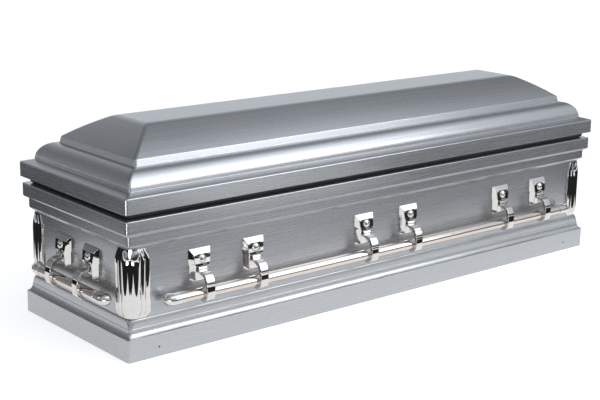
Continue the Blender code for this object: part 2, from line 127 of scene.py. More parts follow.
class CasketMouldings(bpy.types.PropertyGroup):
    """Sizes of the base, the body and the lid."""

    fold: length("Fold", 0.0012, "Radius of the bends where two flats of sheet meet")
    corner_radius: length("Corner radius", 0.008, "Radius of the mouldings' upright corners")
    corner_steps: IntProperty(
        name="Corner steps", description="Facets round a corner", default=8, min=2)
    plinth_inset: length("Plinth inset", 0.0068, "From the lid's edge in to the plinth")
    plinth_height: length("Plinth height", 0.0700, "Height of the flat plinth")
    plug_radius: length("Plug radius", 0.0030, "Radius of the small black plugs in the plinth")
    plug_spacing: length("Plug spacing", 1.850, "Between the two plugs of a long side")
    plug_height: length("Plug height", 0.030, "From the floor to a plug's middle")
    foot_return: length("Foot return", 0.036, "Width of the flange that stands on the floor")
    cove_depth: length("Cove depth", 0.0134, "How far the cove goes in above the plinth")
    cove_height: length("Cove height", 0.0255, "Height of the cove")
    quirk: length("Quirk", 0.0010, "Small flat between the cove and the bead")
    bead_height: length("Bead height", 0.0265, "Height of the rounded bead")
    seat_depth: length("Seat depth", 0.030, "Depth of the seat that carries the body")
    seat_ledge: length("Seat ledge", 0.042, "Width of the seat that carries the body")
    wall_inset: length("Wall inset", 0.0260, "From the lid's edge in to the walls")
    wall_radius: length("Wall radius", 0.028, "Radius of the walls' upright corners")
    band_inset: length("Band inset", 0.0180, "From the lid's edge in to the band")
    band_rise: length("Band rise", 0.0105, "Height of the slope below the band")
    band_height: length("Band height", 0.0290, "Height of the flat band")
    rim_inset: length("Rim inset", 0.0046, "From the lid's edge in to the rim")
    rim_rise: length("Rim rise", 0.0100, "Height of the slope below the rim")
    rim_round: length("Rim round", 0.0030, "Radius of the rim's top edge")
    rim_return: length("Rim return", 0.056, "How far the rim turns in")
    rim_lip: length("Rim lip", 0.014, "Height of the lip inside the rim")
    tongue: length("Tongue", 0.020, "How far the body moulding goes down inside the walls")
    gasket_inset: length("Gasket inset", 0.0220, "From the lid's edge in to the gasket")
    gasket_width: length("Gasket width", 0.0280, "Width of the gasket")
    flange_height: length("Flange height", 0.0485, "Height of the lid's flange")
    flange_round: length("Flange round", 0.0040, "Radius of the flange's top edge")
    flange_return: length("Flange return", 0.056, "How far the lid turns in below")
    ledge_inset: length("Ledge inset", 0.0340, "From the lid's edge in to the foot of the ogee")
    ledge_rise: length("Ledge rise", 0.0080, "Fall of the ledge from the ogee to the flange")
    ogee_inset: length("Ogee inset", 0.0880, "From the lid's edge in to the top of the ogee")
    ogee_height: length("Ogee height", 0.0560, "Height of the round moulding")
    step_quirk: length("Step quirk", 0.0030, "How far the step sits in, and its bevel")
    step_height: length("Step height", 0.0215, "Height of the step")
    crown_inset: length("Crown inset", 0.2180, "From the lid's edge in to the flat crown")
    crown_bulge: length("Crown bulge", 0.0070, "How far the hips swell")
    crown_round: length("Crown round", 0.0200, "Width of the bend between hip and crown")
    crown_radius: length("Crown radius", 0.012, "Corner radius of the crown")


class CasketHardware(bpy.types.PropertyGroup):
    """Sizes of the corner pieces, ears, arms, bars and tips."""

    corner_leg: length("Corner leg", 0.070, "Width of one leg of a corner piece")
    edge_strip: length("Edge strip", 0.017, "Width of the flat strip at a leg's end")
    edge_proud: length("Edge strip depth", 0.0060, "How far the edge strip stands out")
    small_reed: length("Small reed", 0.0155, "Width of the narrow reed")
    small_proud: length("Small reed depth", 0.0075, "How far the narrow reed stands out")
    big_proud: length("Big reed depth", 0.0095, "How far the wide reeds stand out")
    valley_proud: length("Valley depth", 0.0050, "How far the valleys stand out")
    top_taper: length("Top taper", 0.052, "Height over which the head thins")
    foot_taper: length("Foot taper", 0.026, "Height over which the foot thins")
    shoulder: length("Shoulder", 0.014, "How much the ends are cut back")
    lancet: length("Lancet", 0.034, "Height of the pointed reed tops")
    ear_top_drop: length("Ear drop", 0.0345, "From the top of the wall down to an ear")
    ear_height: length("Ear height", 0.100, "Height of an ear")
    ear_width: length("Ear width", 0.081, "Width of an ear's hood at the wall")
    cheek_width: length("Cheek width", 0.073, "Width of an ear below its hood")
    ear_depth: length("Ear depth", 0.0185, "How far an ear stands out")
    hood_depth: length("Hood depth", 0.0145, "How far the hood's slope reaches out")
    hood_drop: length("Hood drop", 0.0145, "Height of the hood's slope")
    hood_height: length("Hood height", 0.044, "Height of the hood")
    ear_edge: length("Ear edge", 0.0020, "Thickness of an ear at its edges")
    ear_back: length("Ear back", 0.0025, "Thickness left behind an ear's slot")
    ear_clearance: length("Ear clearance", 0.0055, "From an arm to a cheek")
    arch_round: length("Arch round", 0.012, "Radius of the slot's top corners")
    arch_clearance: length("Arch clearance", 0.0045, "From a knuckle to the slot's top")
    arch_bevel: length("Arch bevel", 0.0040, "Bevel round the slot")
    boss_radius: length("Boss radius", 0.0155, "Radius of the round boss")
    boss_proud: length("Boss height", 0.0070, "How far the boss stands out")
    boss_sunk: length("Boss depth", 0.0040, "How far the boss goes into its ear")
    boss_drop: length("Boss drop", 0.031, "From the top of an ear to its boss")
    pivot_drop: length("Pivot drop", 0.063, "From the top of an ear to its pivot")
    pivot_standoff: length("Pivot standoff", 0.0130, "From the wall to the pivot")
    knuckle_radius: length("Knuckle radius", 0.0095, "Radius of an arm's knuckle")
    arm_width: length("Arm width", 0.030, "Width of an arm")
    arm_thickness: length("Arm thickness", 0.011, "Thickness of an arm")
    shoulder_reach: length("Shoulder reach", 0.026, "How far an arm goes straight out")
    shoulder_drop: length("Shoulder drop", 0.007, "How much an arm's shoulder falls")
    arm_bevel: length("Arm bevel", 0.0028, "Rounding of an arm's edges")
    bar_radius: length("Bar radius", 0.0170, "Radius of a bar")
    bar_wall: length("Bar wall", 0.0015, "Thickness of a bar's tube")
    bar_standoff: length("Bar standoff", 0.0370, "From the wall to a bar's middle")
    bar_drop: length("Bar drop", 0.067, "From the pivot down to a bar's middle")
    tip_radius: length("Tip radius", 0.0185, "Radius of a tip")
    tip_straight: length("Tip straight", 0.029, "Straight length of a tip")
    tip_bend: degrees("Tip bend", 75, "How far a tip turns")
    tip_dome: length("Tip dome", 0.012, "Height of a tip's rounded end")
    tip_clearance: length("Tip clearance", 0.0030, "From a tip to the corner pieces")
    spigot: length("Spigot", 0.022, "Length of a tip's plug in its bar")


class CasketFinishes(bpy.types.PropertyGroup):
    """Colours and surface values of the four finishes."""

    steel_light: colour("Steel, light", (0.445, 0.455, 0.470), "Brushed steel between the streaks")
    steel_dark: colour("Steel, dark", (0.400, 0.411, 0.427), "Brushed steel in the streaks")
    steel_smooth: share("Steel, smooth", 0.24, "Roughness of the smoothest streaks")
    steel_rough: share("Steel, rough", 0.31, "Roughness of the roughest streaks")
    steel_grain: share("Steel grain", 0.60, "How strongly the brushing draws out a highlight")
    steel_coat: share("Steel lacquer", 0.45, "Weight of the clear lacquer")
    chrome: colour("Chrome", (0.66, 0.645, 0.63), "Plated castings")
    nickel: colour("Nickel", (0.66, 0.60, 0.55), "Plated bars")
    rubber: colour("Rubber", (0.014, 0.014, 0.015), "Gasket")


class CasketStudio(bpy.types.PropertyGroup):
    """The floor, the lights and the camera."""

    floor: colour("Floor", (0.55, 0.55, 0.55), "Pale studio floor")
    floor_glow: share("Floor glow", 0.74, "Light that the floor gives off, for an even white ground")
    floor_reach: length("Floor reach", 40.0, "From the middle of the floor to its edge")
    surround_gap: length("Surround gap", 0.56, "From the casket to the dark frame round it")
    strip_reach: length("Strip reach", 1.20, "From the casket to the front strip's far edge")
    window_start: length("Window start", 0.20, "From the middle to the bright floor's left edge")
    window_end: length("Window end", 1.30, "From the middle to the bright floor's right edge")
    surround_reach: length("Surround reach", 4.0, "From the casket to the dark frame's outer edge")
    card_light: number("Card light", 6.0, "Brightness of the corner cards", min=0.0)
    air: number("Air", 2.25, "Brightness of the room light", min=0.0)
    power: number("Power", 1.0, "Strength of the soft boxes", min=0.0)
    eye: FloatVectorProperty(
        name="Eye", description="The camera's place", default=(-3.0075, -3.4030, 1.4357),
        subtype="XYZ", unit="LENGTH")
    azimuth: degrees("Azimuth", -40.133, "Camera azimuth")
    elevation: degrees("Elevation", 14.370, "Camera elevation")
    roll: degrees("Roll", 1.009, "Camera roll")
    lens: number("Lens", 80.20, "Focal length on a 36 mm sensor", unit="CAMERA")


def arc(center, radii, start, end, steps):
    """Points on an elliptic arc, ends included, angles in degrees."""
    points = []
    for i in range(steps + 1):
        angle = math.radians(start + (end - start) * i / steps)
        x, y = radii[0] * math.cos(angle), radii[1] * math.sin(angle)
        points.append(Vector((center[0] + x, center[1] + y)))
    return points


def bezier(controls, steps):
    """Points on a Bezier curve through any number of control points, ends included."""
    points = []
    for i in range(steps + 1):
        row = [Vector(control) for control in controls]
        while len(row) > 1:
            row = [a.lerp(b, i / steps) for a, b in zip(row, row[1:])]
        points.append(row[0])
    return points


def with_radius(points, start, end=None):
    """Profile points with a corner radius that goes evenly from start to end."""
    end = start if end is None else end
    last = max(len(points) - 1, 1)
    return [Vector((*point[:2], start + (end - start) * i / last)) for i, point in enumerate(points)]


def soften(path, fold, steps=4):
    """The path with its sharp corners made into small round folds between short flats."""
    result = [path[0]]
    for before, corner, after in zip(path, path[1:], path[2:]):
        back = before - corner
        ahead = after - corner
        if (-back).xy.angle(ahead.xy) < FOLD_ANGLE:
            result.append(corner)
            continue
        back_share = min(fold / back.xy.length, FOLD_SHARE)
        ahead_share = min(fold / ahead.xy.length, FOLD_SHARE)
        start = corner + back * back_share
        end = corner + ahead * ahead_share
        result.append(corner + back * back_share * FOLD_FLAT)
        result += bezier((start, corner, end), steps)
        result.append(corner + ahead * ahead_share * FOLD_FLAT)
    return result + [path[-1]]


def offset_path(path, distance):
    """The path moved sideways to its left by a distance, with mitred corners."""
    directions = [(b - a).xy.normalized() for a, b in zip(path, path[1:])]
    moved = []
    for i, point in enumerate(path):
        before = directions[max(i - 1, 0)]
        after = directions[min(i, len(directions) - 1)]
        normal = Vector((-after.y, after.x))
        mitre = (Vector((-before.y, before.x)) + normal).normalized()
        shift = mitre * (distance / mitre.dot(normal))
        moved.append(point + shift.to_3d() if len(point) == 3 else point + shift)
    return moved


def ring(level, steps):
    """One level of a moulding: four rounded corners, each between two short flats."""
    inset, height, radius = -level.x, level.y, level.z
    flat = radius * CORNER_FLAT
    points = []
    for quarter, (sign_x, sign_y) in enumerate(((1, 1), (-1, 1), (-1, -1), (1, -1))):
        reach = inset + radius
        center = (sign_x * (HALF_LENGTH - reach), sign_y * (HALF_WIDTH - reach))
        corner = arc(center, (radius, radius), 90 * quarter, 90 * quarter + 90, steps)
        corner.insert(0, corner[0] - SIDE_RUNS[quarter].xy * flat)
        corner.append(corner[-1] + SIDE_RUNS[(quarter + 1) % 4].xy * flat)
        points += [Vector((point.x, point.y, height)) for point in corner]
    return points


def finish_mesh(mesh, name):
    """The mesh data of a bmesh, its faces turned outward and shaded smooth between folds."""
    bmesh.ops.recalc_face_normals(mesh, faces=mesh.faces)
    data = bpy.data.meshes.new(name)
    mesh.to_mesh(data)
    mesh.free()
    data.shade_smooth()
    data.set_sharp_from_angle(angle=CREASE)
    return data


def sweep(name, path, steps, closed=False):
    """A moulding's mesh, with its brushing laid along each side in the UV map."""
    mesh = bmesh.new()
    layer = mesh.loops.layers.uv.new("brushing")
    rows = [[mesh.verts.new(point) for point in ring(level, steps)] for level in path]
    runs = [0.0]
    for a, b in zip(path, path[1:]):
        runs.append(runs[-1] + (b - a).xy.length)
    spans = [(i, i + 1) for i in range(len(rows) - 1)]
    if closed:
        spans.append((len(rows) - 1, 0))
        runs.append(runs[-1] + (path[0] - path[-1]).xy.length)
    else:
        for row in (rows[0], rows[-1]):
            for loop in mesh.faces.new(row).loops:
                loop[layer].uv = loop.vert.co.xy
    per_corner = steps + 3
    for low, high in spans:
        levels = (runs[low], runs[low], runs[low + 1], runs[low + 1])
        for i in range(len(rows[0])):
            j = (i + 1) % len(rows[0])
            quarter, place = divmod(i, per_corner)
            side = quarter if place < per_corner / 2 - 1 else (quarter + 1) % 4
            face = mesh.faces.new((rows[low][i], rows[low][j], rows[high][j], rows[high][i]))
            for loop, level in zip(face.loops, levels):
                along = loop.vert.co.dot(SIDE_RUNS[side])
                loop[layer].uv = (along + UV_STEP * (side + 1), level)
    return finish_mesh(mesh, name)


def sheet_shell(name, path, fold, thickness, steps):
    """Sheet metal that follows a profile, closed across the casket's middle."""
    return sweep(name, soften(path, fold) + offset_path(path, thickness)[::-1], steps)


def loft(name, loops, closed=False):
    """A closed mesh through equal loops of points."""
    mesh = bmesh.new()
    rows = [[mesh.verts.new(point) for point in loop] for loop in loops]
    pairs = list(zip(rows, rows[1:]))
    if closed:
        pairs.append((rows[-1], rows[0]))
    else:
        mesh.faces.new(rows[0])
        mesh.faces.new(rows[-1])
    for row, following in pairs:
        for i in range(len(row)):
            j = (i + 1) % len(row)
            mesh.faces.new((row[i], row[j], following[j], following[i]))
    return finish_mesh(mesh, name)


def modified(data, kind, tool=None, **settings):
    """The mesh after one modifier with the given settings, and a mesh as its tool if it needs one."""
    holder = bpy.data.objects.new("holder", data)
    holders = [holder]
    modifier = holder.modifiers.new(kind, kind)
    if tool:
        holders.append(bpy.data.objects.new("tool", tool))
        modifier.object = holders[1]
    for item in holders:
        bpy.context.collection.objects.link(item)
    for name, value in settings.items():
        setattr(modifier, name, value)
    graph = bpy.context.evaluated_depsgraph_get()
    result = bpy.data.meshes.new_from_object(holder.evaluated_get(graph))
    for item in holders:
        bpy.data.objects.remove(item)
    result.shade_smooth()
    result.set_sharp_from_angle(angle=CREASE)
    return result


def bevelled(data, width, segments=3):
    """The mesh with its sharp edges rounded."""
    limits = {"limit_method": "ANGLE", "angle_limit": CREASE}
    return modified(data, "BEVEL", width=width, segments=segments, **limits)


def place_piece(name, data, slot, nodes, body="casket", where=Matrix()):
    """A piece of its own on a body, in a finish, in the place of the CAD nodes it stands for."""
    data = data.copy()
    data.name = name
    data.transform(where)
    data.materials.clear()
    data.materials.append(finish_named(slot))
    piece = bpy.data.objects.new(name, data)
    bpy.context.collection.objects.link(piece)
    weighted = piece.modifiers.new("weighted normals", "WEIGHTED_NORMAL")
    weighted.keep_sharp = True
    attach(piece, body)
    if nodes:
        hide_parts(*nodes)


def shader_of(name, metallic=1.0):
    """A new material, its node tree and its Principled shader."""
    material = bpy.data.materials.new(name)
    material.use_nodes = True
    shader = material.node_tree.nodes["Principled BSDF"]
    shader.inputs["Metallic"].default_value = metallic
    return material, material.node_tree, shader


def noise(tree, source, stretch, detail=3.0, roughness=0.5):
    """A noise with a number of cycles a metre along each axis of a coordinate."""
    mapping = tree.nodes.new("ShaderNodeMapping")
    mapping.inputs["Scale"].default_value = stretch
    tree.links.new(source, mapping.inputs["Vector"])
    texture = tree.nodes.new("ShaderNodeTexNoise")
    texture.inputs["Scale"].default_value = 1.0
    texture.inputs["Detail"].default_value = detail
    texture.inputs["Roughness"].default_value = roughness
    tree.links.new(mapping.outputs["Vector"], texture.inputs["Vector"])
    return texture.outputs["Fac"]


def spread(tree, value, low, high):
    """A value from a noise, which mostly lies between 0.3 and 0.7, spread from low to high."""
    node = tree.nodes.new("ShaderNodeMapRange")
    for key, limit in (("From Min", 0.3), ("From Max", 0.7), ("To Min", low), ("To Max", high)):
        node.inputs[key].default_value = limit
    tree.links.new(value, node.inputs["Value"])
    return node.outputs["Result"]


def tint(tree, value, low, high):
    """A colour between two colours by a value from 0 to 1."""
    node = tree.nodes.new("ShaderNodeMix")
    node.data_type = "RGBA"
    tree.links.new(value, node.inputs["Factor"])
    node.inputs["A"].default_value = (*low, 1.0)
    node.inputs["B"].default_value = (*high, 1.0)
    return node.outputs["Result"]


def patchy(tree, socket, scale, low, high, detail):
    """Lets a socket's colour go between two colours in soft patches, whose noise it returns."""
    place = tree.nodes.new("ShaderNodeTexCoord").outputs["Object"]
    patches = noise(tree, place, (scale,) * 3, detail)
    tree.links.new(tint(tree, spread(tree, patches, 0.0, 1.0), low, high), socket)
    return patches


def calculated(tree, operation, *values):
    """The result of one operation on values, each a socket or a number."""
    node = tree.nodes.new("ShaderNodeMath")
    node.operation = operation
    for socket, value in zip(node.inputs, values):
        if isinstance(value, float):
            socket.default_value = value
        else:
            tree.links.new(value, socket)
    return node.outputs["Value"]


def average(tree, first, second):
    """The mean of two values."""
    return calculated(tree, "MULTIPLY", calculated(tree, "ADD", first, second), 0.5)


def bump(tree, height, distance, strength=1.0, normal=None):
    """A bump of a height in metres from a value, laid on another bump if there is one."""
    node = tree.nodes.new("ShaderNodeBump")
    node.inputs["Strength"].default_value = strength
    node.inputs["Distance"].default_value = distance
    tree.links.new(height, node.inputs["Height"])
    if normal:
        tree.links.new(normal, node.inputs["Normal"])
    return node.outputs["Normal"]


def brushed_steel(finish):
    """Steel brushed along the mouldings, under clear lacquer, with faint waves in the sheet."""
    material, tree, shader = shader_of("brushed_steel_finish", metallic=0.85)
    brushing = tree.nodes.new("ShaderNodeUVMap")
    brushing.uv_map = "brushing"
    place = tree.nodes.new("ShaderNodeTexCoord").outputs["Object"]
    long_streaks = noise(tree, brushing.outputs["UV"], (0.9, 260, 1), 4.0, 0.65)
    fine_streaks = noise(tree, brushing.outputs["UV"], (3.5, 1300, 1), 2.0)
    streaks = average(tree, long_streaks, fine_streaks)
    toned = tint(tree, spread(tree, streaks, 0.0, 1.0), finish.steel_dark, finish.steel_light)
    tree.links.new(toned, shader.inputs["Base Color"])
    smoothness = spread(tree, streaks, finish.steel_smooth, finish.steel_rough)
    tree.links.new(smoothness, shader.inputs["Roughness"])
    waves = bump(tree, noise(tree, place, (2.2, 3.0, 6.0), 1.0), 0.0016)
    tree.links.new(bump(tree, fine_streaks, 0.000006, 0.5, waves), shader.inputs["Normal"])
    tangent = tree.nodes.new("ShaderNodeTangent")
    tangent.direction_type = "UV_MAP"
    tangent.uv_map = "brushing"
    tree.links.new(tangent.outputs["Tangent"], shader.inputs["Tangent"])
    shader.inputs["Anisotropic"].default_value = finish.steel_grain
    shader.inputs["Anisotropic Rotation"].default_value = 0.25
    shader.inputs["Coat Weight"].default_value = finish.steel_coat
    shader.inputs["Coat Roughness"].default_value = 0.06
    return material


def plated(name, tone, smooth, rough, wave):
    """Bright plate over a polished casting, with wipe marks and the casting's slight waves."""
    material, tree, shader = shader_of(name)
    place = tree.nodes.new("ShaderNodeTexCoord").outputs["Object"]
    smears = noise(tree, place, (22, 22, 60), 5.0, 0.62)
    marks = noise(tree, place, (900, 900, 140), 2.0)
    duller = [channel * 0.93 for channel in tone]
    toned = tint(tree, spread(tree, smears, 0.0, 1.0), duller, tone)
    tree.links.new(toned, shader.inputs["Base Color"])
    haze = average(tree, smears, marks)
    tree.links.new(spread(tree, haze, smooth, rough), shader.inputs["Roughness"])
    waves = bump(tree, noise(tree, place, (45, 45, 45), 1.0), wave)
    tree.links.new(bump(tree, marks, 0.000004, 0.4, waves), shader.inputs["Normal"])
    return material


def rubber(finish):
    """Matt black rubber with a fine moulded grain."""
    material, tree, shader = shader_of("rubber_finish", metallic=0.0)
    place = tree.nodes.new("ShaderNodeTexCoord").outputs["Object"]
    grain = noise(tree, place, (700, 700, 700), 3.0)
    lighter = [channel * 1.9 for channel in finish.rubber]
    patches = patchy(tree, shader.inputs["Base Color"], 14, finish.rubber, lighter, 3.0)
    tree.links.new(spread(tree, patches, 0.52, 0.68), shader.inputs["Roughness"])
    tree.links.new(bump(tree, grain, 0.00015, 0.6), shader.inputs["Normal"])
    return material


def pale_floor(studio):
    """Even pale studio ground that gives off a little light of its own."""
    material, tree, shader = shader_of("pale_floor_finish", metallic=0.0)
    darker = [channel * 0.985 for channel in studio.floor]
    patchy(tree, shader.inputs["Base Color"], 0.6, darker, studio.floor, 2.0)
    shader.inputs["Roughness"].default_value = 0.9
    shader.inputs["Specular IOR Level"].default_value = 0.1
    shader.inputs["Emission Color"].default_value = (1, 1, 1, 1)
    shader.inputs["Emission Strength"].default_value = studio.floor_glow
    return material


def finish_named(name):
    """One of the finishes, made once and shared."""
    made = bpy.data.materials.get(name + "_finish")
    if made:
        return made
    finish = bpy.context.scene.casket_finishes
    makers = {
        "brushed_steel": lambda: brushed_steel(finish),
        "chrome": lambda: plated("chrome_finish", finish.chrome, 0.015, 0.05, 0.00005),
        "nickel": lambda: plated("nickel_finish", finish.nickel, 0.06, 0.13, 0.00003),
        "rubber": lambda: rubber(finish),
    }
    return makers[name]()


def plug_dome(radius):
    """A low domed plug with its back at the origin, -Y out, its dome 0.3 of its radius high."""
    rows = [(GAP, radius)]
    for i in range(6):
        angle = math.radians(15 * i)
        rows.append((-GAP - radius * 0.3 * math.sin(angle), radius * math.cos(angle)))
    loops = []
    for y, reach in rows:
        loops.append([Vector((x, y, z)) for x, z in arc((0, 0), (reach, reach), *ROUND_PLUG)])
    return loft("plug", loops)


class CASKET_OT_base(bpy.types.Operator):
    """Build the base moulding in one bent sheet, and the black plugs in its plinth"""

    bl_idname = "casket.base"
    bl_label = "Base Moulding"

    def execute(self, context):
        m = context.scene.casket_mouldings
        cove_top = m.plinth_height + m.cove_height
        lip = m.wall_inset - GAP - SHEET
        bead_width = lip - m.plinth_inset - m.cove_depth - m.quirk
        path = [(-m.plinth_inset - m.foot_return, 0.0), (-m.plinth_inset, 0.0)]
        path += arc((-m.plinth_inset, cove_top), (-m.cove_depth, -m.cove_height), 90, 0, 14)
        path = with_radius(path, m.corner_radius)
        bead = arc((-lip, cove_top + m.quirk), (bead_width, m.bead_height), 0, 90, 14)
        path += with_radius(bead, m.corner_radius, m.wall_radius)
        seat = BASE_TOP - m.seat_depth + SHEET
        lip += SHEET
        ledge = (-m.wall_inset - m.seat_ledge, seat)
        path += with_radius([(-lip, BASE_TOP), (-lip, seat), ledge], m.wall_radius)
        section = soften(path, m.fold) + offset_path(path, SHEET)[::-1]
        data = sweep("base", section, m.corner_steps, closed=True)
        place_piece("base", data, "brushed_steel", ["base_moulding"])
        plug = plug_dome(m.plug_radius)
        for side in ("front", "back"):
            turn = Matrix.Rotation(SIDE_TURNS[side], 4, "Z")
            for end, sign in (("left", -1), ("right", 1)):
                seat = (sign * m.plug_spacing / 2, m.plinth_inset - HALF_WIDTH, m.plug_height)
                where = turn @ Matrix.Translation(seat)
                place_piece(f"plinth_plug_{side}_{end}", plug, "rubber", [], where=where)
        return {"FINISHED"}


class CASKET_OT_body(bpy.types.Operator):
    """Build the body: the ring of walls, the floor in it, and the band and rolled rim on top"""

    bl_idname = "casket.body"
    bl_label = "Body"

    def execute(self, context):
        m = context.scene.casket_mouldings
        wall_top = WALL_HIGH.z
        low, face = WALL_LOW.z, -m.wall_inset
        wall = with_radius([(face, low), (face, wall_top)], m.wall_radius)
        wall += with_radius([(face - SHEET, wall_top), (face - SHEET, low)], m.wall_radius - SHEET)
        data = sweep("walls", wall, m.corner_steps, closed=True)
        place_piece("walls", data, "brushed_steel", ["casket_body"])
        pan = face - SHEET - GAP
        floor = with_radius([(pan, low), (pan, low + SHEET)], m.wall_radius - SHEET - GAP)
        data = sweep("pan", floor, m.corner_steps)
        place_piece("pan", data, "brushed_steel", ["floor_pan"])
        band_top = wall_top + m.band_rise + m.band_height
        path = [(pan, wall_top - m.tongue), (pan, wall_top + GAP), (face, wall_top + GAP)]
        path = with_radius(path, m.wall_radius)
        upper = [(-m.band_inset, wall_top + m.band_rise), (-m.band_inset, band_top)]
        upper += [(-m.rim_inset - m.rim_round / 2, band_top + m.rim_rise - m.rim_round)]
        upper += [(-m.rim_inset, band_top + m.rim_rise)]
        rim_center = (-m.rim_inset - m.rim_round, RIM_TOP - m.rim_round)
        upper += arc(rim_center, (m.rim_round, m.rim_round), 0, 90, 6)
        upper += [(-m.rim_return, RIM_TOP), (-m.rim_return, RIM_TOP - m.rim_lip)]
        path += with_radius(upper, m.corner_radius)
        section = path[:3] + soften(path[2:], m.fold)[1:] + offset_path(path, SHEET)[::-1]
        data = sweep("band_and_rim", section, m.corner_steps, closed=True)
        place_piece("band_and_rim", data, "brushed_steel", ["body_moulding"])
        return {"FINISHED"}


class CASKET_OT_gasket(bpy.types.Operator):
    """Build the rubber gasket between the rim and the lid"""

    bl_idname = "casket.gasket"
    bl_label = "Gasket"

    def execute(self, context):
        m = context.scene.casket_mouldings
        low = RIM_TOP + GAP
        high = LID_LOW.z - GAP
        swell = (high - low) / 2
        outer = arc((-m.gasket_inset - swell, (low + high) / 2), (swell, swell), -90, 90, 10)
        inner = m.gasket_inset + m.gasket_width
        path = with_radius([(-inner, low)] + outer + [(-inner, high)], m.corner_radius)
        data = sweep("seal", path, m.corner_steps, closed=True)
        place_piece("seal", data, "rubber", ["gasket"])
        return {"FINISHED"}


class CASKET_OT_lid(bpy.types.Operator):
    """Build the lid: flange, ogee, step, swelling hips and flat crown"""

    bl_idname = "casket.lid"
    bl_label = "Lid"

    def execute(self, context):
        m = context.scene.casket_mouldings
        flange_top = LID_LOW.z + m.flange_height
        ledge_top = flange_top + m.ledge_rise
        step_bottom = ledge_top + m.ogee_height
        step_top = step_bottom + m.step_height
        path = [(-m.flange_return, LID_LOW.z), (0.0, LID_LOW.z)]
        bend = (m.flange_round, m.flange_round)
        path += arc((-m.flange_round, flange_top - m.flange_round), bend, 0, 75, 6)
        path += [(-m.ledge_inset, ledge_top)]
        swell = (m.ogee_inset - m.ledge_inset, m.ogee_height)
        path += arc((-m.ogee_inset, ledge_top), swell, 9, 90, 24)
        step = -m.ogee_inset - m.step_quirk
        lean, bevel = 0.0015, 0.0010
        riser_top = step - m.step_quirk - lean
        path += [(step, step_bottom), (riser_top, step_top - bevel)]
        slope_start = Vector((riser_top - bevel, step_top))
        slope_end = Vector((-m.crown_inset, LID_HIGH.z))
        along = (slope_end - slope_start).normalized()
        bulge = Vector((along.y, -along.x)) * m.crown_bulge
        hip = bezier((slope_start, (slope_start + slope_end) / 2 + bulge, slope_end), 18)
        bend_start = len(hip) - 3  # the bend to the crown takes up the hip's last two steps
        path = with_radius(path, m.corner_radius)
        crown_edge = (-m.crown_inset - m.crown_round, LID_HIGH.z)
        bend = bezier((hip[bend_start], hip[-1], crown_edge), 12)
        path += with_radius(hip[:bend_start] + bend, m.corner_radius, m.crown_radius)
        data = sheet_shell("top", path[::-1], m.fold, -SHEET, m.corner_steps)
        place_piece("top", data, "brushed_steel", ["lid"])
        return {"FINISHED"}


def reed_relief(h, distance, rise, valley, edge):
    """How far a reed stands out at a distance from the corner, the reeds narrowing with rise."""
    half = math.sqrt(max(1.0 - rise ** 1.7, 0.0))
    for start, end, proud in ((0.0, valley, h.big_proud), (valley, edge, h.small_proud)):
        if start <= distance <= end and half > 0:
            middle = (start + end) / 2
            reach = abs(distance - middle) / ((end - start) / 2 * half)
            if reach < 1:
                swell = half * math.cos(math.pi / 2 * reach) ** 0.75
                return h.valley_proud + (proud - h.valley_proud) * swell
    return h.valley_proud


def corner_casting(h, wall_radius):
    """A reeded corner piece with its corner at the origin and its legs along +X and +Y."""
    bend_half = wall_radius * math.pi / 4
    end = h.corner_leg - wall_radius + bend_half
    edge = end - h.edge_strip
    valley = edge - h.small_reed
    margin = 0.003  # left free on the wall above and below
    point_margin = 0.004  # from an end to the tips of the pointed reeds
    thin = 0.35  # share of the depth that is left at the ends
    # Distances from the corner, each with a share of the edge strip's depth, or None in a reed
    columns = [(end, 0.5), (end - 0.0012, 0.85), (end - 0.003, 1.0), (end - h.edge_strip / 2, 1.0)]
    columns += [(edge + 0.0015, 0.95), (edge + 0.0005, None)]
    columns += [(edge - (edge - valley) * i / 10, None) for i in range(11)]
    columns += [(valley - valley * i / 18, None) for i in range(1, 19)]
    low = BASE_TOP + margin
    high = WALL_HIGH.z - margin
    heights = [low + h.foot_taper * i / 8 for i in range(8)]
    straight_low, straight_high = low + h.foot_taper, high - h.top_taper
    heights += [straight_low + (straight_high - straight_low) * i / 6 for i in range(6)]
    heights += [straight_high + h.top_taper * i / 26 for i in range(27)]
    loops = []
    for height in heights:
        foot = min((height - low) / h.foot_taper, 1.0)
        head = min((high - height) / h.top_taper, 1.0)
        depth = thin + (1 - thin) * math.sin(math.pi / 2 * min(foot, head))
        cut = h.shoulder * (max(1 - 2 * foot, 0.0) + max(1 - 1.4 * head, 0.0) ** 1.5)
        rise = max(1 - (high - point_margin - height) / h.lancet, 0.0)
        fall = max(1 - (height - low - point_margin) / (h.lancet * 0.45), 0.0)
        leg = []
        for distance, strip in columns:
            if strip is None:
                proud = reed_relief(h, distance, min(max(rise, fall), 1.0), valley, edge)
            else:
                proud = h.edge_proud * strip
            proud = GAP + (proud - GAP) * depth
            inner = h.corner_leg / 3
            moved = distance - cut * max(distance - inner, 0) / (end - inner)
            if moved > bend_half:
                leg.append(Vector((wall_radius + moved - bend_half, -proud)))
            else:
                angle = math.radians(270) - (bend_half - moved) / wall_radius
                reach = wall_radius + proud
                x, y = reach * math.cos(angle), reach * math.sin(angle)
                leg.append(Vector((wall_radius + x, wall_radius + y)))
        back_end = Vector((leg[0].x, -GAP))
        seat = wall_radius + GAP
        back = arc((wall_radius, wall_radius), (seat, seat), 270, 180, 6)
        mirrored = [Vector((point.y, point.x)) for point in leg]
        plan = mirrored + leg[-2::-1] + [back_end] + back + [Vector((back_end.y, back_end.x))]
        loops.append([Vector((point.x, point.y, height)) for point in plan])
    return loft("corner_casting", loops)


